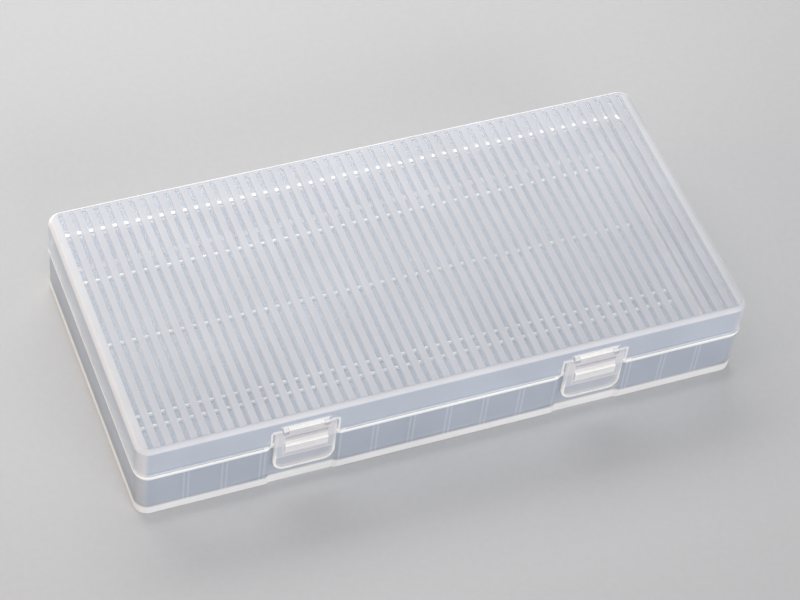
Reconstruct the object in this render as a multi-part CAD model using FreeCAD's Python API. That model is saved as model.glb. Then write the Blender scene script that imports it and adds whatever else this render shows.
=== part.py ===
import FreeCAD, Part
import math
import os
from FreeCAD import Vector

# Flat hinged storage case for battery cells, moulded in translucent polypropylene.
# Millimetres. X runs along the case, Y from the latches to the hinge, Z up.
# Everything is drawn about the middle of the footprint and moved to the origin at export.

# Overall form, measured over the bead round the lid's rim
case_length = 262.0
case_depth = 129.0
case_height = 41.3
corner_radius = 6.3
seam_height = 24.3

# Moulding
wall = 1.6
roof = 1.8
floor_thickness = 2.0
base_inset = 0.65
base_lean = 0.15
lid_inset = 0.3
lid_lean = 0.15
bead_height = 2.0
seam_gap = 0.1
base_edge_radius = 0.8
base_inner_chamfer = 1.2
lid_edge_radius = 2.3
lid_inner_chamfer = 0.8
foot_height = 1.0
foot_width = 4.0

# Shiplap joint between the base and the lid
lip_height = 2.5
lip_thickness = 0.75
lip_clearance = 0.15

# Channels in the underside of the roof
channel_pitch = 5.0
channel_width = 2.0
channel_depth = 0.5
channel_side_margin = 2.0
channel_end_margin = 0.4

# Cells and the straight rests that carry them clear of the floor
cell_diameter = 14.5
cell_pitch = 15.8
cell_end_space = 17.0
rest_height = 1.2
rest_thickness = 1.2
rest_edge_chamfer = 0.3
rest_end_gap = 9.0
inner_rest_place = 19.3
front_rest_step = 6.1
outer_rest_from_wall = 8.2

# Pairs of fins on the front wall, and their low counterparts on the back wall
fin_thickness = 0.6
fin_spacing = 1.85
fin_reach = 1.3
fin_above_cell = 1.2
back_fin_height = 2.6

# Latches, their pockets in both shells and the catch on the base
latch_from_end = 68.9
pocket_width = 27.2
pocket_depth = 1.5
pocket_top_drop = 0.6
pocket_corner_radius = 0.8
rim_width = 0.9
rim_reach = 0.3
base_pocket_width = 26.8
base_pocket_ramp = 2.1
flare_height = 2.4
plate_width = 25.8
plate_thickness = 1.5
plate_proud = 1.3
plate_bottom = 10.6
plate_corner_radius = 5.0
plate_top_gap = 0.2
plate_edge_chamfer = 0.4
latch_axis_height = 34.5
latch_axis_inset = 0.2
barrel_radius = 1.1
barrel_width = 14.6
trunnion_radius = 0.6
trunnion_clearance = 0.06
ear_width = 2.0
ear_gap = 0.2
ear_slot_gap = 0.25
barrel_pocket_gap = 0.4
grip_height = 4.5
grip_top = 27.4
grip_reach = 1.25
grip_width = 17.8
grip_slope = 0.35
groove_height = 0.9
groove_depth = 0.5
groove_place = 31.2
step_height = 19.1
step_depth = 0.3
catch_width = 20.0
catch_bottom = 20.2
catch_height = 1.4
catch_reach = 0.95
hook_height = 1.65
hook_gap = 0.15
hook_engagement = 0.55

# Rear hinge: two groups of three knuckles, each on its own pin
hinge_from_end = 49.0
knuckle_radius = 2.6
knuckle_gap = 0.3
knuckle_wall_gap = 0.25
base_knuckle_length = 8.0
lid_knuckle_length = 14.0
pin_radius = 1.0
pin_end_inset = 0.3
pin_seat_clearance = 0.02
pin_running_clearance = 0.08

# One overrun serves every cut, and one margin every search for edges by height
overrun = 5.0
pick_margin = 0.05
bead_edge_share = 0.9

half_length = case_length / 2
half_depth = case_depth / 2
latch_place = half_length - latch_from_end
hinge_place = half_length - hinge_from_end
inner_half_length = half_length - base_inset - base_lean - wall
inner_half_depth = half_depth - base_inset - base_lean - wall
outer_rest_place = inner_half_depth - outer_rest_from_wall
cell_rows_along = int(2 * (inner_half_length - cell_end_space) / cell_pitch)
channel_reach = half_length - lid_inset - lid_lean - wall - channel_side_margin
channels_each_side = int(channel_reach / channel_pitch)
floor_top = foot_height + floor_thickness
lid_bottom = seam_height + seam_gap
roof_underside = case_height - roof
cell_rest = floor_top + rest_height
fin_top = cell_rest + cell_diameter + fin_above_cell
rebate_inset = base_inset + wall - lip_thickness - lip_clearance

# Front faces, counted from the middle of the case towards the latches
lid_face = -(half_depth - lid_inset)
pocket_face = lid_face + pocket_depth
pocket_top = latch_axis_height - pocket_top_drop
plate_face = lid_face - plate_proud
plate_back = plate_face + plate_thickness
latch_axis_y = lid_face - latch_axis_inset
hinge_axis_y = half_depth + knuckle_wall_gap + knuckle_radius
hinge_axis_z = seam_height


def block(x0, x1, y0, y1, z0, z1):
    """Box between two opposite corners."""
    low = Vector(min(x0, x1), min(y0, y1), min(z0, z1))
    return Part.makeBox(abs(x1 - x0), abs(y1 - y0), abs(z1 - z0), low)


def rod(x0, x1, y, z, radius):
    """Cylinder along X."""
    return Part.makeCylinder(radius, x1 - x0, Vector(x0, y, z), Vector(1, 0, 0))


def outline(inset, z):
    """Rounded rectangle, a given inset inside the bead, as a closed wire."""
    x = half_length - inset
    y = half_depth - inset
    r = corner_radius - inset
    diagonal = r * (1 - math.sqrt(0.5))
    edges = []
    for sx, sy in ((1, 1), (-1, 1), (-1, -1), (1, -1)):
        flat_x = Vector(sx * x, sy * (y - r), z)
        flat_y = Vector(sx * (x - r), sy * y, z)
        middle = Vector(sx * (x - diagonal), sy * (y - diagonal), z)
        start, end = (flat_x, flat_y) if sx == sy else (flat_y, flat_x)
        if edges:
            edges.append(Part.makeLine(edges[-1].Vertexes[-1].Point, start))
        edges.append(Part.Arc(start, middle, end).toShape())
    edges.append(Part.makeLine(edges[-1].Vertexes[-1].Point, edges[0].Vertexes[0].Point))
    return Part.Wire(edges)


def shell_block(inset_low, inset_high, z_low, z_high):
    """Solid between two outlines, leaning where their insets differ."""
    wires = [outline(inset_low, z_low), outline(inset_high, z_high)]
    return Part.makeLoft(wires, True, True)


def edges_at(shape, z, margin):
    """Edges that lie at one height."""
    return [e for e in shape.Edges if abs(e.BoundBox.ZMin - z) < margin and abs(e.BoundBox.ZMax - z) < margin]


def profile_x(points, x0, x1):
    """Closed profile in Y and Z, drawn along X."""
    wire = Part.makePolygon([Vector(x0, y, z) for y, z in points + points[:1]])
    return Part.Face(wire).extrude(Vector(x1 - x0, 0, 0))


def profile_y(wire_points, y0, y1):
    """Closed profile in X and Z, drawn along Y."""
    wire = Part.makePolygon([Vector(x, y0, z) for x, z in wire_points + wire_points[:1]])
    return Part.Face(wire).extrude(Vector(0, y1 - y0, 0))


def latch_places():
    return (-latch_place, latch_place)


def lid_pocket(centre, grow):
    """Pocket in the lid round one latch, or the inner form that keeps the wall behind it."""
    half = pocket_width / 2 + grow
    flared = base_pocket_width / 2 + base_pocket_ramp + grow
    back = pocket_face + grow
    front = lid_face - overrun
    top = pocket_top + grow
    flare = [
        (centre - flared, lid_bottom - overrun),
        (centre + flared, lid_bottom - overrun),
        (centre + flared, lid_bottom),
        (centre + half, lid_bottom + flare_height),
        (centre + half, top),
        (centre - half, top),
        (centre - half, lid_bottom + flare_height),
        (centre - flared, lid_bottom),
    ]
    lower = profile_y(flare, front, back)
    window_half = barrel_width / 2 + ear_gap + ear_width + ear_gap + grow
    window_top = latch_axis_height + barrel_radius + barrel_pocket_gap + grow
    window = block(centre - window_half, centre + window_half, front, back, pocket_top, window_top)
    pocket = lower.fuse(window).removeSplitter()
    corners = [
        e for e in pocket.Edges
        if abs(e.BoundBox.ZMin - top) < pick_margin and e.BoundBox.ZLength < pick_margin
        and e.BoundBox.YLength > pocket_depth and abs(abs(e.BoundBox.XMin - centre) - half) < pick_margin
    ]
    return pocket.makeFillet(pocket_corner_radius, corners)


def base_pocket(centre, grow):
    """Finger recess below one latch, with ramped sides, through the height of the base."""
    deep = base_pocket_width / 2 + grow
    front = lid_face - overrun
    back = pocket_face + grow
    slope = base_pocket_ramp / (pocket_depth + lid_inset - base_inset)
    wide = deep + (back - front) * slope
    points = [(centre - wide, front), (centre + wide, front), (centre + deep, back), (centre - deep, back)]
    wire = Part.makePolygon([Vector(x, y, -overrun) for x, y in points + points[:1]])
    return Part.Face(wire).extrude(Vector(0, 0, seam_height + 2 * overrun))


def fin_places():
    first = -cell_pitch * cell_rows_along / 2
    return [first + cell_pitch * i for i in range(cell_rows_along + 1)]


def base_shell():
    """Tray with floor, foot rim, shiplap lip and latch recesses."""
    outer = shell_block(base_inset + base_lean, base_inset, 0, seam_height)
    outer = outer.makeFillet(base_edge_radius, edges_at(outer, 0, pick_margin))
    lip_inner = base_inset + wall
    lip_outer = lip_inner - lip_thickness
    lip_top = seam_height + lip_height
    lip = shell_block(lip_outer, lip_outer, seam_height - wall, lip_top)
    inner = shell_block(lip_inner + base_lean, lip_inner, floor_top, seam_height)
    inner = inner.makeChamfer(base_inner_chamfer, edges_at(inner, floor_top, pick_margin))
    lip_bore = shell_block(lip_inner, lip_inner, seam_height, lip_top + overrun)
    underside = base_inset + base_lean + foot_width
    foot = shell_block(underside, underside, -overrun, foot_height)
    body = outer.fuse(lip)
    cavity = inner.fuse(lip_bore)
    for centre in latch_places():
        body = body.cut(base_pocket(centre, 0))
        cavity = cavity.cut(base_pocket(centre, wall))
        foot = foot.cut(base_pocket(centre, foot_width))
        gap_half = base_pocket_width / 2 + base_pocket_ramp + wall + lip_clearance
        spare = block(centre - gap_half, centre + gap_half, lid_face, pocket_face + wall, seam_height, lip_top + overrun)
        body = body.cut(spare)
    return body.cut(cavity).cut(foot)


def rests():
    """Straight rests along the floor; the front row of cells has a second one inwards."""
    half = inner_half_length - rest_end_gap
    root = floor_top - floor_thickness / 2
    places = [
        -outer_rest_place,
        -inner_rest_place - front_rest_step,
        -inner_rest_place,
        inner_rest_place,
        outer_rest_place,
    ]
    found = []
    for y in places:
        rest = block(-half, half, y - rest_thickness / 2, y + rest_thickness / 2, root, cell_rest)
        crest = [e for e in edges_at(rest, cell_rest, pick_margin) if e.BoundBox.XLength > half]
        found.append(rest.makeChamfer(rest_edge_chamfer, crest))
    return found


def fins():
    """Pairs of fins that stand between cells, full height in front and low at the back."""
    found = []
    rim_face = -(half_depth - base_inset - wall)
    back_wall = -rim_face
    root = floor_top - floor_thickness / 2
    back_top = floor_top + back_fin_height
    recess_half = base_pocket_width / 2 + base_pocket_ramp / 2 + fin_spacing
    for x in fin_places():
        in_recess = any(abs(x - centre) < recess_half for centre in latch_places())
        wall_face = pocket_face + wall if in_recess else rim_face
        for side in (-1, 1):
            middle = x + side * fin_spacing / 2
            x0 = middle - fin_thickness / 2
            x1 = middle + fin_thickness / 2
            found.append(block(x0, x1, wall_face - wall / 2, wall_face + base_lean + fin_reach, root, fin_top))
            found.append(block(x0, x1, back_wall - base_lean - fin_reach, back_wall, root, back_top))
    return found


def catches():
    """Rib in each recess that the latch's hook snaps under; sloped above, square below."""
    nose = pocket_face - catch_reach
    root = pocket_face + wall / 2
    top = catch_bottom + catch_height
    points = [
        (root, catch_bottom),
        (nose, catch_bottom),
        (nose, catch_bottom + catch_height / 3),
        (pocket_face, top),
        (root, top),
    ]
    return [profile_x(points, c - catch_width / 2, c + catch_width / 2) for c in latch_places()]


def knuckle(x0, x1, above):
    """Hinge knuckle with its web, which joins the shell above or below the seam."""
    barrel = rod(x0, x1, hinge_axis_y, hinge_axis_z, knuckle_radius)
    if above:
        root = half_depth - (lid_inset + rebate_inset) / 2
        web = block(x0, x1, root, hinge_axis_y, lid_bottom, lid_bottom + knuckle_radius - seam_gap)
        bore = pin_radius + pin_running_clearance
    else:
        root = half_depth - base_inset - wall / 2
        web = block(x0, x1, root, hinge_axis_y, seam_height - knuckle_radius, seam_height)
        bore = pin_radius + pin_seat_clearance
    body = barrel.fuse(web)
    if above:
        spare = block(x0, x1, half_depth - base_inset - wall, hinge_axis_y - knuckle_radius, -overrun, lid_bottom)
        body = body.cut(spare)
    return body.cut(rod(x0 - overrun, x1 + overrun, hinge_axis_y, hinge_axis_z, bore))


def hinge_spans(centre):
    """X ranges of the lid's knuckle and of the base's two knuckles in one group."""
    half = lid_knuckle_length / 2
    outer = half + knuckle_gap
    lid_span = (centre - half, centre + half)
    base_spans = [
        (centre - outer - base_knuckle_length, centre - outer),
        (centre + outer, centre + outer + base_knuckle_length),
    ]
    return lid_span, base_spans


def base():
    body = base_shell()
    additions = rests() + fins() + catches()
    for centre in (-hinge_place, hinge_place):
        additions += [knuckle(x0, x1, False) for x0, x1 in hinge_spans(centre)[1]]
    return body.fuse(additions).removeSplitter()


def lid_shell():
    """Skirt with bead, latch rims and roof, rebated inside for the base's lip."""
    outer = shell_block(lid_inset, lid_inset + lid_lean, lid_bottom, case_height)
    outer = outer.makeFillet(lid_edge_radius, edges_at(outer, case_height, pick_margin))
    bead_top = lid_bottom + bead_height
    bead = shell_block(0, 0, lid_bottom, bead_top)
    rims = edges_at(bead, lid_bottom, pick_margin) + edges_at(bead, bead_top, pick_margin)
    bead = bead.makeChamfer(lid_inset * bead_edge_share, rims)
    inner = shell_block(lid_inset + wall, lid_inset + lid_lean + wall, lid_bottom, roof_underside)
    inner = inner.makeChamfer(lid_inner_chamfer, edges_at(inner, roof_underside, pick_margin))
    mouth = shell_block(lid_inset + wall, lid_inset + wall, lid_bottom - overrun, lid_bottom)
    rebate_top = seam_height + lip_height + lip_clearance
    rebate = shell_block(rebate_inset, rebate_inset, lid_bottom - overrun, rebate_top)
    body = outer.fuse(bead)
    cavity = inner.fuse(mouth)
    rim_front = lid_face - rim_reach
    rim_zone = block(-half_length, half_length, rim_front, pocket_face, lid_bottom, case_height - lid_edge_radius)
    for centre in latch_places():
        rim = lid_pocket(centre, rim_width).common(rim_zone)
        body = body.fuse(rim).cut(lid_pocket(centre, 0))
        bulge = lid_pocket(centre, wall)
        cavity = cavity.cut(bulge)
        rebate = rebate.cut(bulge)
    return body.cut(cavity).cut(rebate)


def channels():
    """Channels under the roof, side by side along the case."""
    reach = half_depth - lid_inset - lid_lean - wall - channel_end_margin
    half = channel_width / 2
    low = roof_underside - channel_depth
    high = roof_underside + channel_depth
    cuts = []
    for i in range(-channels_each_side, channels_each_side + 1):
        x = channel_pitch * i
        cuts.append(block(x - half, x + half, -reach, reach, low, high))
    return Part.makeCompound(cuts)


def ears(centre):
    """Two ears that carry the trunnions of one latch."""
    found = []
    for side in (-1, 1):
        inner = centre + side * (barrel_width / 2 + ear_gap)
        outer = inner + side * ear_width
        x0, x1 = sorted((inner, outer))
        nose = rod(x0, x1, latch_axis_y, latch_axis_height, barrel_radius)
        low = latch_axis_height - barrel_radius
        high = latch_axis_height + barrel_radius
        root = block(x0, x1, latch_axis_y, pocket_face + wall / 2, low, high)
        hole = rod(x0 - overrun, x1 + overrun, latch_axis_y, latch_axis_height, trunnion_radius + trunnion_clearance)
        found.append(nose.fuse(root).cut(hole))
    return found


def lid():
    body = lid_shell().cut(channels())
    additions = []
    for centre in latch_places():
        additions += ears(centre)
    for centre in (-hinge_place, hinge_place):
        x0, x1 = hinge_spans(centre)[0]
        additions.append(knuckle(x0, x1, True))
    return body.fuse(additions).removeSplitter()


def latch(centre):
    """Plate with barrel and trunnions on top, finger grip in front and hook behind."""
    half = plate_width / 2
    top = pocket_top - plate_top_gap
    plate = block(centre - half, centre + half, plate_face, plate_back, plate_bottom, top)
    sides = [e for e in plate.Edges if e.BoundBox.YLength > plate_thickness / 2]
    low_corners = [e for e in sides if e.BoundBox.ZMax < plate_bottom + plate_edge_chamfer]
    plate = plate.makeFillet(plate_corner_radius, low_corners)
    rim = [e for e in plate.Edges if e.BoundBox.YMax < plate_face + plate_thickness / 2]
    rim = [e for e in rim if e.BoundBox.ZMin < top - plate_edge_chamfer]
    plate = plate.makeChamfer(plate_edge_chamfer, rim)

    lower = step_height
    step = block(centre - half - overrun, centre + half + overrun, plate_face - overrun,
                 plate_face + step_depth, plate_bottom - overrun, lower)
    keep = half - 2 * plate_edge_chamfer
    step = step.common(block(centre - keep, centre + keep, plate_face - overrun, plate_back,
                             plate_bottom + 2 * plate_edge_chamfer, lower))
    step_corners = [e for e in step.Edges if e.BoundBox.YLength > step_depth
                    and e.BoundBox.ZMax < plate_bottom + 3 * plate_edge_chamfer]
    step = step.makeFillet(plate_corner_radius - 2 * plate_edge_chamfer, step_corners)
    groove = block(centre - grip_width / 2, centre + grip_width / 2, plate_face - overrun,
                   plate_face + groove_depth, groove_place - groove_height / 2, groove_place + groove_height / 2)
    plate = plate.cut(step).cut(groove)

    ear_outer = barrel_width / 2 + 2 * ear_gap + ear_width
    for side in (-1, 1):
        plate = plate.cut(block(centre + side * barrel_width / 2, centre + side * ear_outer, plate_face - overrun,
                                plate_back + overrun, latch_axis_height - barrel_radius - ear_slot_gap, top + overrun))

    barrel_half = barrel_width / 2
    barrel = rod(centre - barrel_half, centre + barrel_half, latch_axis_y, latch_axis_height, barrel_radius)
    neck = block(centre - barrel_half, centre + barrel_half, plate_face, latch_axis_y, top - plate_thickness,
                 latch_axis_height)
    trunnion_half = barrel_half + ear_gap + ear_width
    trunnions = rod(centre - trunnion_half, centre + trunnion_half, latch_axis_y, latch_axis_height, trunnion_radius)

    grip_face = plate_face - grip_reach
    inside = plate_face + plate_thickness / 2
    grip_low = grip_top - grip_height
    grip_points = [
        (inside, grip_low),
        (grip_face + grip_slope, grip_low),
        (grip_face, grip_top - grip_slope),
        (grip_face + grip_slope, grip_top),
        (inside, grip_top),
    ]
    grip = profile_x(grip_points, centre - grip_width / 2, centre + grip_width / 2)

    hook_nose = pocket_face - catch_reach + hook_engagement
    hook_top = catch_bottom - hook_gap
    hook_points = [
        (plate_back - plate_thickness / 3, hook_top),
        (hook_nose, hook_top),
        (hook_nose, hook_top - hook_height / 3),
        (plate_back, hook_top - hook_height),
        (plate_back - plate_thickness / 3, hook_top - hook_height),
    ]
    hook = profile_x(hook_points, centre - catch_width / 2, centre + catch_width / 2)
    return plate.fuse([barrel, neck, trunnions, grip, hook]).removeSplitter()


def hinge_pin(centre):
    """Plain steel pin through one group of knuckles."""
    half = lid_knuckle_length / 2 + knuckle_gap + base_knuckle_length - pin_end_inset
    return rod(centre - half, centre + half, hinge_axis_y, hinge_axis_z, pin_radius)


nodes = {
    "base_shell": base(),
    "lid_shell": lid(),
    "latch_left": latch(-latch_place),
    "latch_right": latch(latch_place),
    "hinge_pin_left": hinge_pin(-hinge_place),
    "hinge_pin_right": hinge_pin(hinge_place),
}

# The origin is the middle of the whole case's footprint, on the surface it stands on.
front_reach = -(plate_face - grip_reach)
rear_reach = hinge_axis_y + knuckle_radius
to_origin = Vector(0, (front_reach - rear_reach) / 2, 0)

os.makedirs("parts", exist_ok=True)
for name, shape in nodes.items():
    shape.translate(to_origin)
    solids = shape.Solids
    print(name, "solids", len(solids), "valid", shape.isValid(), "volume", round(shape.Volume), "faces", len(shape.Faces))
    result = solids[0] if len(solids) == 1 else shape
    result.exportStep("parts/" + name + ".step")
print("origin moved by", round(to_origin.y, 3))
print("lid hinge axis y", round(hinge_axis_y + to_origin.y, 3), "z", hinge_axis_z)
print("latch hinge axis y", round(latch_axis_y + to_origin.y, 3), "z", latch_axis_height)
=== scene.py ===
import bpy
import numpy as np
from mathutils import Matrix, Vector


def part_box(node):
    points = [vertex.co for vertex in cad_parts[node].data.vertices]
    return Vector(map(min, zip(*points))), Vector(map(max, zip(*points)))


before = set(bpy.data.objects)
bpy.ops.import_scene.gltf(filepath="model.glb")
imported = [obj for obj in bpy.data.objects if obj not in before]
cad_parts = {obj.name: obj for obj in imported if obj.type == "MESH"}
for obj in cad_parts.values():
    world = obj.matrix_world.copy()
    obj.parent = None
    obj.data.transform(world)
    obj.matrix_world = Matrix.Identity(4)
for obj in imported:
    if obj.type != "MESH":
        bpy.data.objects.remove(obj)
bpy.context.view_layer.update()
print("frame loaded:", ", ".join(sorted(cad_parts)))

mm = 0.001


def linearColour(text):
    # sRGB hex to linear, one channel at a time
    parts = [int(text[i:i + 2], 16) / 255 for i in (1, 3, 5)]
    parts = [p / 12.92 if p <= 0.04045 else ((p + 0.055) / 1.055) ** 2.4 for p in parts]
    return (*parts, 1.0)


def addNode(tree, kind, links=None, **values):
    # links: input name or number -> a node (its first output), an output socket or a constant
    node = tree.nodes.new(kind)
    for name, value in values.items():
        setattr(node, name, value)
    for socket, source in (links or {}).items():
        if isinstance(source, bpy.types.Node):
            source = source.outputs[0]
        if isinstance(source, bpy.types.NodeSocket):
            tree.links.new(source, node.inputs[socket])
        else:
            node.inputs[socket].default_value = source
    return node


def newMaterial(name):
    material = bpy.data.materials.new(name)
    material.use_nodes = True
    tree = material.node_tree
    tree.nodes.clear()
    out = addNode(tree, "ShaderNodeOutputMaterial")
    return material, tree, out


def softStep(tree, value, limits, results=(0.0, 1.0)):
    # smooth step from the first result to the second while the value passes between the limits
    return addNode(tree, "ShaderNodeMapRange", {
        "Value": value, "From Min": limits[0], "From Max": limits[1],
        "To Min": results[0], "To Max": results[1],
    }, interpolation_type="SMOOTHSTEP")


def joined(tree, operation, *values):
    # the values taken together one after the other: several masks multiplied, two glows added
    result = values[0]
    for value in values[1:]:
        result = addNode(tree, "ShaderNodeMath", {0: result, 1: value}, operation=operation)
    return result


# A noise texture's value stays between these two nearly everywhere.
noiseSpan = (0.3, 0.7)


# The studio: a long lens from the front left, 50 degrees above the table, as in the photograph.
camera = {
    "focalPixels": 2803.1,
    "imageWidth": 800,
    "sensor": 36.0,
    "nearest": 0.01,
    "place": (-0.33403, -0.66975, 0.90938),
    "right": (0.93211, -0.35098, 0.08931),
    "up": (0.21811, 0.74088, 0.63524),
}


def makeCamera():
    data = bpy.data.cameras.new("camera")
    data.sensor_width = camera["sensor"]
    data.lens = camera["focalPixels"] / camera["imageWidth"] * camera["sensor"]
    data.clip_start = camera["nearest"]
    view = bpy.data.objects.new("camera", data)
    bpy.context.scene.collection.objects.link(view)
    right = Vector(camera["right"]).normalized()
    up = Vector(camera["up"]).normalized()
    back = right.cross(up).normalized()
    up = back.cross(right)
    turn = Matrix((right, up, back)).transposed().to_4x4()
    view.matrix_world = Matrix.Translation(Vector(camera["place"])) @ turn
    bpy.context.scene.camera = view


# The wide light stands behind the case, where its shine falls towards the camera.
lights = {
    "behind": {"place": (-0.02, 0.50, 0.52), "aim": (0, 0.02, 0), "size": (0.9, 0.3),
               "spread": 120, "power": 2.1, "colour": "#FFFDFA"},
    "left": {"place": (-1.3, 0.1, 0.42), "aim": (0, 0, 0), "size": (0.8, 0.6),
             "spread": 180, "power": 7, "colour": "#FFF1E4"},
    "front": {"place": (0.38, -2.0, 0.77), "aim": (0, 0, 0), "size": (1.8, 0.8),
              "spread": 180, "power": 30, "colour": "#FAFBFF"},
}


def makeLight(name, settings):
    data = bpy.data.lights.new(name, "AREA")
    data.shape = "RECTANGLE"
    data.size, data.size_y = settings["size"]
    data.spread = np.radians(settings["spread"])
    data.energy = settings["power"]
    data.color = linearColour(settings["colour"])[:3]
    light = bpy.data.objects.new(name, data)
    bpy.context.scene.collection.objects.link(light)
    place = Vector(settings["place"])
    light.location = place
    light.rotation_euler = (Vector(settings["aim"]) - place).to_track_quat("-Z", "Y").to_euler()


studioAir = {"colour": "#F3F3F5", "strength": 0.27}


def makeWorld():
    world = bpy.data.worlds.new("studio")
    bpy.context.scene.world = world
    world.use_nodes = True
    back = world.node_tree.nodes["Background"]
    back.inputs["Color"].default_value = linearColour(studioAir["colour"])
    back.inputs["Strength"].default_value = studioAir["strength"]


# Matt paper, rolled: a pale even ground without shine, its fibres just under what the eye sees.
floorLook = {
    "size": 12.0,
    "colour": "#C9CACC",
    "roughness": 0.75,
    "fibres": 3 * mm,
    "fibreDetail": 3.0,
    "fibreValue": (0.99, 1.01),
}


def makeFloor(look):
    half = look["size"] / 2
    mesh = bpy.data.meshes.new("floor")
    corners = [(-half, -half, 0), (half, -half, 0), (half, half, 0), (-half, half, 0)]
    mesh.from_pydata(corners, [], [(0, 1, 2, 3)])
    floor = bpy.data.objects.new("floor", mesh)
    bpy.context.scene.collection.objects.link(floor)
    material, tree, out = newMaterial("matt paper floor")
    coordinates = addNode(tree, "ShaderNodeTexCoord").outputs["Object"]
    fibres = addNode(tree, "ShaderNodeTexNoise", {
        "Vector": coordinates, "Scale": 1 / look["fibres"], "Detail": look["fibreDetail"],
    })
    colour = addNode(tree, "ShaderNodeHueSaturation", {
        "Value": softStep(tree, fibres, noiseSpan, look["fibreValue"]),
        "Color": linearColour(look["colour"]),
    })
    shader = addNode(tree, "ShaderNodeBsdfPrincipled", {
        "Base Color": colour, "Roughness": look["roughness"],
    })
    tree.links.new(shader.outputs[0], out.inputs["Surface"])
    mesh.materials.append(material)


# Masks run from zero to one. They read the object's own places and directions, in metres.
def places(tree):
    coordinates = addNode(tree, "ShaderNodeTexCoord").outputs["Object"]
    split = addNode(tree, "ShaderNodeSeparateXYZ", {0: coordinates})
    return coordinates, split.outputs[0], split.outputs[1], split.outputs[2]


def facing(tree):
    normal = addNode(tree, "ShaderNodeTexCoord").outputs["Normal"]
    split = addNode(tree, "ShaderNodeSeparateXYZ", {0: normal})
    return split.outputs[0], split.outputs[1], split.outputs[2]


def above(tree, value, limit, blur):
    return softStep(tree, value, (limit - blur, limit + blur))


def below(tree, value, limit, blur):
    return softStep(tree, value, (limit - blur, limit + blur), (1.0, 0.0))


def within(tree, value, reach, blur):
    # one up to the reach on both sides of zero
    size = addNode(tree, "ShaderNodeMath", {0: value}, operation="ABSOLUTE")
    return below(tree, size, reach, blur)


def between(tree, value, limits, blur):
    low, high = limits
    fromMiddle = joined(tree, "SUBTRACT", value, (low + high) / 2)
    return within(tree, fromMiddle, (high - low) / 2, blur)


def opposite(tree, mask):
    return joined(tree, "SUBTRACT", 1.0, mask)


# Polypropylene, moulded in a blasted mould. It gives the eye a satin skin that is bluish and
# clear where it is thin, and white where it is thick or seen on edge. Some zones carry painted
# highlights, with a painted glow on them. A zone is a colour and how milky (opaque) one skin of it
# is.
plastic = {
    "ior": 1.49,
    "cloudDetail": 3.0,
    "cloudValue": (0.965, 1.03),
    "grainDetail": 2.0,
    "grainStrength": 0.06,
    "grainDepth": 0.02 * mm,
    "outwardZone": (0.0, 5.0 * mm),
    "cornerSlant": (0.15, 0.55),
}


def outwardMask(tree, x, y, nx, ny):
    # one where a surface faces away from the upright axis in the middle of the case
    away = joined(tree, "ADD", joined(tree, "MULTIPLY", x, nx), joined(tree, "MULTIPLY", y, ny))
    return softStep(tree, away, plastic["outwardZone"])


def cornerMask(tree, nx, ny):
    # one on the rounded upright corners, where the wall is seen at a slant
    sizes = [addNode(tree, "ShaderNodeMath", {0: n}, operation="ABSOLUTE") for n in (nx, ny)]
    return softStep(tree, joined(tree, "MINIMUM", *sizes), plastic["cornerSlant"])


def fromLatch(tree, x, middle):
    # how far to the side of the nearer latch's middle
    fromCentre = addNode(tree, "ShaderNodeMath", {0: x}, operation="ABSOLUTE")
    past = joined(tree, "SUBTRACT", fromCentre, middle)
    return addNode(tree, "ShaderNodeMath", {0: past}, operation="ABSOLUTE")


def blendZones(tree, zones):
    # the first zone is the ground, and each later one lies over it by its mask
    (ground, groundMilk), laterZones = zones[0], zones[1:]
    colour = linearColour(ground)
    milk = groundMilk
    for mask, (zoneColour, zoneMilk) in laterZones:
        mixed = addNode(tree, "ShaderNodeMix", {
            0: mask, 6: colour, 7: linearColour(zoneColour),
        }, data_type="RGBA")
        colour = mixed.outputs[2]
        milk = softStep(tree, mask, (0.0, 1.0), (milk, zoneMilk))
    return colour, milk


def frostedShader(tree, out, coordinates, look, zones, roughness, glow, dense=0.0):
    colour, milk = blendZones(tree, zones)
    # faint clouds, as the melt flowed
    clouds = addNode(tree, "ShaderNodeTexNoise", {
        "Vector": coordinates, "Scale": 1 / look["clouds"], "Detail": plastic["cloudDetail"],
    })
    colour = addNode(tree, "ShaderNodeHueSaturation", {
        "Value": softStep(tree, clouds, noiseSpan, plastic["cloudValue"]), "Color": colour,
    })
    # light passes the milky skin more easily than an image does, except where it is dense
    shadowRay = addNode(tree, "ShaderNodeLightPath").outputs["Is Shadow Ray"]
    passing = joined(tree, "MULTIPLY", shadowRay, 1 - look["shadow"], opposite(tree, dense))
    alpha = joined(tree, "MULTIPLY", milk, opposite(tree, passing))
    # the blasted grain, drawn about three times as coarse as the real one so that it shows
    grain = addNode(tree, "ShaderNodeTexNoise", {
        "Vector": coordinates, "Scale": 1 / look["grain"], "Detail": plastic["grainDetail"],
    })
    bump = addNode(tree, "ShaderNodeBump", {
        "Strength": plastic["grainStrength"], "Distance": plastic["grainDepth"], "Height": grain,
    })
    shader = addNode(tree, "ShaderNodeBsdfPrincipled", {
        "Base Color": colour,
        "Alpha": alpha,
        "Roughness": roughness,
        "IOR": plastic["ior"],
        "Normal": bump,
        # the glow is painted light: it brightens the painted highlights without a lamp
        "Emission Color": colour,
        "Emission Strength": glow,
    })
    tree.links.new(shader.outputs[0], out.inputs["Surface"])
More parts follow.
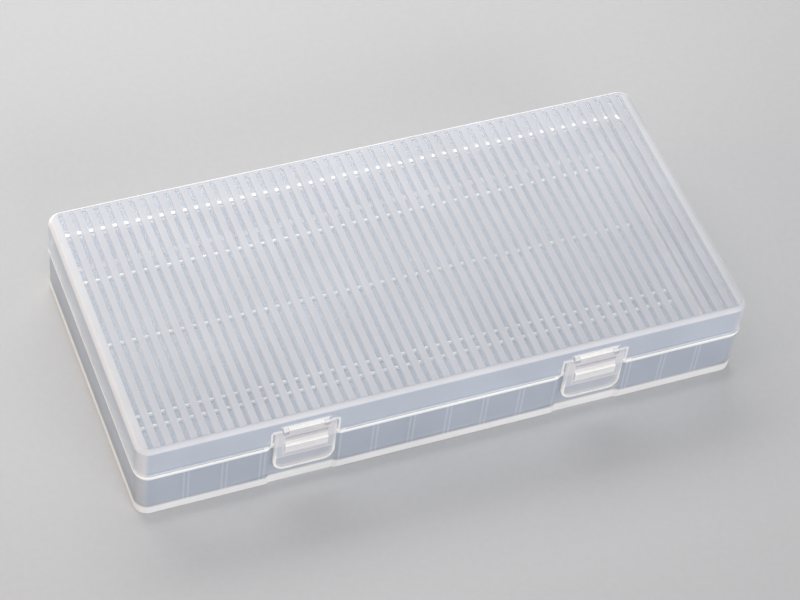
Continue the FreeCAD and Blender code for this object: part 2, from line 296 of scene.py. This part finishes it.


# The lid: thin channels under the roof make clearer strips between milky lands; the bead along
# its lower edge and the rounding along its top are painted nearly white as painted highlights.
lidLook = {
    "wall": ("#B9C0CA", 0.80),
    "inner": ("#ECEEF2", 0.82),
    "land": ("#C7CAD2", 0.80),
    "strip": ("#B2BAC5", 0.24),
    "stripBack": ("#BAC1CB", 0.34),
    "corner": ("#D0D0D4", 0.86),
    "roundingHighlight": ("#E4E4E7", 0.88),
    "rim": ("#ECECED", 0.92),
    "lipShadow": ("#ACB3BD", 0.82),
    "border": ("#D4D6DB", 0.84),
    "backEdgeHighlight": ("#FFFFFF", 0.92),
    "earHighlight": ("#F2F1F2", 0.93),
    "bead": ("#FFFBF6", 0.97),
    "backGlow": 0.17,
    "beadGlow": 0.08,
    "roughness": 0.36,
    "roughnessStrip": 0.15,
    "shadow": 0.2,
    "grain": 0.35 * mm,
    "clouds": 28 * mm,
    "crisp": 0.1 * mm,
    "blur": 0.2 * mm,
    "softBlur": 0.4 * mm,
    # the strips: pitch, width, and how far they reach
    "stripPitch": 5.0 * mm,
    "stripWidth": 2.0 * mm,
    "stripReachX": 126.0 * mm,
    "stripY": (-63.65 * mm, 60.45 * mm),
    "stripBackFrom": (47.0 * mm, 57.0 * mm),
    "borderFrom": 126.2 * mm,
    # depths under the top: to just under the channels' ceilings, and under the roof's underside
    "channelCeiling": (1.5 * mm, 1.4 * mm),
    "roofUnderside": 2.1 * mm,
    # the rounded top edge, painted as a highlight: its radius, and the slants between which it
    # shows
    "edgeRadius": 2.3 * mm,
    "edgeSlant": (0.10, 0.25),
    "edgeFlat": (0.90, 0.98),
    "backEdgeFrom": (56.05 * mm, 60.05 * mm),
    "beadTop": 25.65 * mm,
    "overBead": (26.4 * mm, 27.8 * mm),
    # the rims and ears that stand in front of the face, beside each latch: the rims painted white
    # as a painted highlight, the ears white partly for their thick plastic and partly as a painted
    # highlight
    "proudFrom": -65.92 * mm,
    "latchMiddle": 62.1 * mm,
    "rimReach": (9.9 * mm, 17.0 * mm),
    "rimTop": 35.0 * mm,
    "earReach": 9.7 * mm,
    "earLow": 34.8 * mm,
}


def lidMaterial(look):
    material, tree, out = newMaterial("polypropylene, moulded in a blasted mould, lid")
    coordinates, x, y, z = places(tree)
    nx, ny, nz = facing(tree)
    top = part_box("lid_shell")[1][2]
    crisp, blur, softBlur = look["crisp"], look["blur"], look["softBlur"]
    outward = outwardMask(tree, x, y, nx, ny)
    # the strips repeat along the case, so the length is folded at half their pitch
    fromStrip = joined(tree, "PINGPONG", x, look["stripPitch"] / 2)
    ceilingLow, ceilingHigh = look["channelCeiling"]
    strip = joined(tree, "MULTIPLY",
                   below(tree, fromStrip, look["stripWidth"] / 2, blur),
                   within(tree, x, look["stripReachX"], crisp),
                   between(tree, y, look["stripY"], blur),
                   softStep(tree, z, (top - ceilingLow, top - ceilingHigh)))
    stripBack = joined(tree, "MULTIPLY", strip, softStep(tree, y, look["stripBackFrom"]))
    roof = above(tree, z, top - look["roofUnderside"], blur)
    border = joined(tree, "MULTIPLY", roof,
                    opposite(tree, within(tree, x, look["borderFrom"], softBlur)))
    # painted highlight along the rounded top edge, brighter and with a painted glow along its rear
    # part
    roundingHighlight = joined(tree, "MULTIPLY", outward,
                      above(tree, z, top - look["edgeRadius"], softBlur),
                      softStep(tree, nz, look["edgeSlant"]),
                      softStep(tree, nz, look["edgeFlat"], (1.0, 0.0)))
    backEdgeHighlight = joined(tree, "MULTIPLY", roundingHighlight, softStep(tree, y, look["backEdgeFrom"]))
    # painted highlight: the bead is painted nearly white, with a faint painted glow
    bead = joined(tree, "MULTIPLY", outward, below(tree, z, look["beadTop"], blur))
    lipShadow = joined(tree, "MULTIPLY", outward, between(tree, z, look["overBead"], softBlur))
    proud = below(tree, y, look["proudFrom"], crisp)
    across = fromLatch(tree, x, look["latchMiddle"])
    # painted highlight: the rims around the latch pockets and the tops of the ears are painted
    # near white
    rim = joined(tree, "MULTIPLY", proud,
                 between(tree, across, look["rimReach"], crisp),
                 below(tree, z, look["rimTop"], crisp))
    earHighlight = joined(tree, "MULTIPLY", proud,
                 below(tree, across, look["earReach"], crisp),
                 above(tree, z, look["earLow"], crisp))
    zones = [
        look["wall"],
        (lipShadow, look["lipShadow"]),
        (cornerMask(tree, nx, ny), look["corner"]),
        (opposite(tree, outward), look["inner"]),
        (roof, look["land"]),
        (border, look["border"]),
        (strip, look["strip"]),
        (stripBack, look["stripBack"]),
        (roundingHighlight, look["roundingHighlight"]),
        (backEdgeHighlight, look["backEdgeHighlight"]),
        (rim, look["rim"]),
        (bead, look["bead"]),
        (earHighlight, look["earHighlight"]),
    ]
    roughness = softStep(tree, strip, (0.0, 1.0), (look["roughness"], look["roughnessStrip"]))
    glow = joined(tree, "ADD",
                  joined(tree, "MULTIPLY", backEdgeHighlight, look["backGlow"]),
                  joined(tree, "MULTIPLY", bead, look["beadGlow"]))
    frostedShader(tree, out, coordinates, look, zones, roughness, glow)
    return material


# The tray: a white band where the thick bottom edge is, pairs of faint fins behind the front
# wall, and a painted highlight with a painted glow on the cell rests' tops and the back lip.
baseLook = {
    "wall": ("#ABB2BC", 0.78),
    "inner": ("#D6DBE2", 0.78),
    "floor": ("#D1D7DF", 0.80),
    "corner": ("#B9BBC0", 0.82),
    "bottom": ("#F3F1EF", 0.94),
    "rest": ("#FFFCF5", 0.97),
    "fin": ("#B9BFC9", 0.82),
    "seamHighlight": ("#F4F2F0", 0.94),
    "roughness": 0.34,
    "roughnessInside": 0.12,
    "shadow": 0.2,
    "bottomDense": 0.7,
    "grain": 0.35 * mm,
    "clouds": 28 * mm,
    "crisp": 0.05 * mm,
    "blur": 0.2 * mm,
    "floorTop": 3.3 * mm,
    "floorBlur": 0.1 * mm,
    "flat": (0.80, 0.90),
    "facingUp": (0.0, 0.10),
    "bottomBand": (3.8 * mm, 6.0 * mm),
    "seamLineZone": (22.9 * mm, 24.5 * mm),
    # the painted glow on the rests grows towards the light behind the case
    "restTop": 23.3 * mm,
    "restReach": (124.0 * mm, 57.0 * mm),
    "restGlow": (0.2, 0.55),
    "restGlowY": (20 * mm, 50 * mm),
    "lipGlow": 0.9,
    "lipZone": (25.6 * mm, 27.2 * mm),
    "backOfCavity": 56.0 * mm,
    # the fins stand in pairs
    "finPitch": 15.8 * mm,
    "finSpacing": 1.85 * mm,
    "finWidth": 0.9 * mm,
    "finReach": 120.0 * mm,
    "finTop": 22.7 * mm,
    "finFace": -65.25 * mm,
}


def baseMaterial(look):
    material, tree, out = newMaterial("polypropylene, moulded in a blasted mould, tray")
    coordinates, x, y, z = places(tree)
    nx, ny, nz = facing(tree)
    crisp, blur = look["crisp"], look["blur"]
    inward = opposite(tree, outwardMask(tree, x, y, nx, ny))
    inFloor = below(tree, z, look["floorTop"], look["floorBlur"])
    level = addNode(tree, "ShaderNodeMath", {0: nz}, operation="ABSOLUTE")
    floorSkin = joined(tree, "MULTIPLY", inFloor, softStep(tree, level, look["flat"]))
    bottom = softStep(tree, z, look["bottomBand"], (1.0, 0.0))
    # painted highlight: a near white line along the top of the tray's wall, under the lid's bead
    seamHighlight = between(tree, z, look["seamLineZone"], blur)
    reachX, reachY = look["restReach"]
    # painted highlight: the tops of the cell rests and the inner face of the back lip are painted
    # near white and glow
    rest = joined(tree, "MULTIPLY", opposite(tree, inFloor),
                  softStep(tree, nz, look["flat"]),
                  below(tree, z, look["restTop"], blur),
                  within(tree, x, reachX, blur), within(tree, y, reachY, blur))
    lipHighlight = joined(tree, "MULTIPLY", inward,
                 between(tree, z, look["lipZone"], blur),
                 above(tree, y, look["backOfCavity"], blur))
    # fold the length at half the pairs' pitch, then at half the spacing in a pair
    fromPair = joined(tree, "PINGPONG", x, look["finPitch"] / 2)
    fromFin = joined(tree, "SUBTRACT", fromPair, look["finSpacing"] / 2)
    alongFins = within(tree, x, look["finReach"], blur)
    fin = joined(tree, "MULTIPLY", alongFins,
                 within(tree, fromFin, look["finWidth"] / 2, blur),
                 below(tree, y, look["finFace"], crisp),
                 below(tree, z, look["finTop"], blur))
    corner = joined(tree, "MULTIPLY", cornerMask(tree, nx, ny), opposite(tree, alongFins))
    zones = [
        look["wall"],
        (corner, look["corner"]),
        (inward, look["inner"]),
        (seamHighlight, look["seamHighlight"]),
        (fin, look["fin"]),
        (bottom, look["bottom"]),
        (floorSkin, look["floor"]),
        (joined(tree, "MAXIMUM", rest, lipHighlight), look["rest"]),
    ]
    polished = joined(tree, "MULTIPLY", floorSkin, softStep(tree, nz, look["facingUp"]))
    roughness = softStep(tree, polished, (0.0, 1.0), (look["roughness"], look["roughnessInside"]))
    restGlow = softStep(tree, y, look["restGlowY"], look["restGlow"])
    glow = joined(tree, "ADD",
                  joined(tree, "MULTIPLY", rest, restGlow),
                  joined(tree, "MULTIPLY", lipHighlight, look["lipGlow"]))
    dense = joined(tree, "MULTIPLY", bottom, look["bottomDense"])
    frostedShader(tree, out, coordinates, look, zones, roughness, glow, dense)
    return material


# The latches: a smoother skin than the shells', with a white rim around the plate, partly thick
# edge and partly painted highlight, and painted highlights along the barrel and the finger grip's
# top.
latchLook = {
    "plate": ("#DCDBDD", 0.80),
    "low": ("#C1C3CA", 0.76),
    "side": ("#CBCFD5", 0.76),
    "paintedShade": ("#CAC8CB", 0.85),
    "light": ("#ECEAEB", 0.85),
    "grip": ("#EAE8E7", 0.92),
    "edgeHighlight": ("#FFFCF5", 0.97),
    "edgeHighlightGlow": 0.09,
    "roughness": 0.26,
    "shadow": 0.35,
    "grain": 0.4 * mm,
    "clouds": 9 * mm,
    "crisp": 0.05 * mm,
    "blur": 0.1 * mm,
    "softBlur": 0.3 * mm,
    "middle": 62.1 * mm,
    # heights of the cross lines and steps of the plate; the lines carry painted shade and a
    # painted highlight
    "groove": (29.7 * mm, 31.0 * mm),
    "overGrip": (27.5 * mm, 28.8 * mm),
    "underGrip": (19.9 * mm, 20.8 * mm),
    "stepTop": 18.5 * mm,
    "gripWidth": 17.8 * mm,
    "gripDepth": 1.2 * mm,
    "gripTopSlant": (0.4, 0.6),
    "sideFrom": (9.1 * mm, 10.3 * mm),
    "sideZone": (19.6 * mm, 26.2 * mm),
    "sideBlur": 0.9 * mm,
    "barrelLow": 34.6 * mm,
    "barrelSlant": (0.45, 0.7),
    # the white rim, partly painted highlight, full around the lower corners and fading up the
    # sides
    "plateWidth": 25.8 * mm,
    "cornerRadius": 5.0 * mm,
    "rimWidth": 1.0 * mm,
    "rimTop": 33.0 * mm,
    "rimFade": 0.25,
}


def latchMaterial(look):
    material, tree, out = newMaterial("polypropylene, moulded, latch")
    coordinates, x, y, z = places(tree)
    nz = facing(tree)[2]
    front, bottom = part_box("latch_left")[0][1:]
    crisp, blur, softBlur = look["crisp"], look["blur"], look["softBlur"]
    across = fromLatch(tree, x, look["middle"])
    alongGrip = below(tree, across, look["gripWidth"] / 2, blur)

    def line(name):
        return joined(tree, "MULTIPLY", alongGrip, between(tree, z, look[name], softBlur))

    side = joined(tree, "MULTIPLY",
                  softStep(tree, across, look["sideFrom"]),
                  between(tree, z, look["sideZone"], look["sideBlur"]))
    lowPart = below(tree, z, look["stepTop"], softBlur)
    grip = below(tree, y, front + look["gripDepth"], crisp)
    # painted highlights on the top face of the grip and the top of the barrel
    gripTopHighlight = joined(tree, "MULTIPLY", grip, softStep(tree, nz, look["gripTopSlant"]))
    barrelHighlight = joined(tree, "MULTIPLY",
                    above(tree, z, look["barrelLow"], blur),
                    softStep(tree, nz, look["barrelSlant"]))
    # distance past the middle of the nearer lower corner's rounding, sideways and down
    radius = look["cornerRadius"]
    pastX = joined(tree, "SUBTRACT", across, look["plateWidth"] / 2 - radius)
    pastZ = joined(tree, "SUBTRACT", bottom + radius, z)
    squares = []
    for past in (pastX, pastZ):
        past = joined(tree, "MAXIMUM", past, 0.0)
        squares.append(joined(tree, "MULTIPLY", past, past))
    total = joined(tree, "ADD", *squares)
    fromCorner = addNode(tree, "ShaderNodeMath", {0: total}, operation="SQRT")
    rim = joined(tree, "MULTIPLY",
                 above(tree, fromCorner, radius - look["rimWidth"], softBlur),
                 softStep(tree, z, (bottom + radius, look["sideZone"][1]), (1.0, look["rimFade"])),
                 below(tree, z, look["rimTop"], blur))
    edgeHighlight = joined(tree, "MAXIMUM", barrelHighlight, gripTopHighlight)
    zones = [
        look["plate"],
        (side, look["side"]),
        (lowPart, look["low"]),
        # painted shade in the groove, and below a painted shadow under the grip
        (line("groove"), look["paintedShade"]),
        # painted highlight: a lighter band just above the grip
        (line("overGrip"), look["light"]),
        (line("underGrip"), look["paintedShade"]),
        (rim, look["edgeHighlight"]),
        (grip, look["grip"]),
        (edgeHighlight, look["edgeHighlight"]),
    ]
    # painted glow on the painted highlights
    glow = joined(tree, "MULTIPLY", edgeHighlight, look["edgeHighlightGlow"])
    frostedShader(tree, out, coordinates, look, zones, look["roughness"], glow)
    return material


# Drawn steel wire: a grey metal whose shine is stretched along the pin by fine die lines.
pinLook = {
    "colour": "#B4B4B6",
    "roughness": (0.22, 0.42),
    "lineLength": 25 * mm,
    "lineWidth": 0.25 * mm,
    "lineDetail": 2.0,
}


def pinMaterial(look):
    material, tree, out = newMaterial("drawn steel wire")
    coordinates = addNode(tree, "ShaderNodeTexCoord").outputs["Object"]
    stretch = (look["lineWidth"] / look["lineLength"], 1, 1)
    along = addNode(tree, "ShaderNodeMapping", {0: coordinates, "Scale": stretch})
    lines = addNode(tree, "ShaderNodeTexNoise", {
        "Vector": along, "Scale": 1 / look["lineWidth"], "Detail": look["lineDetail"],
    })
    shader = addNode(tree, "ShaderNodeBsdfPrincipled", {
        "Base Color": linearColour(look["colour"]),
        "Metallic": 1.0,
        "Roughness": softStep(tree, lines, noiseSpan, look["roughness"]),
    })
    tree.links.new(shader.outputs[0], out.inputs["Surface"])
    return material


def paint(material, *nodes):
    for node in nodes:
        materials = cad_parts[node].data.materials
        materials.clear()
        materials.append(material)


makeFloor(floorLook)
for lightName, lightSettings in lights.items():
    makeLight(lightName, lightSettings)
makeWorld()
makeCamera()
bpy.context.scene.view_settings.view_transform = "Standard"
print("studio ready")

paint(lidMaterial(lidLook), "lid_shell")
print("lid painted")
paint(baseMaterial(baseLook), "base_shell")
print("tray painted")
paint(latchMaterial(latchLook), "latch_left", "latch_right")
paint(pinMaterial(pinLook), "hinge_pin_left", "hinge_pin_right")
print("latches and hinge pins painted")
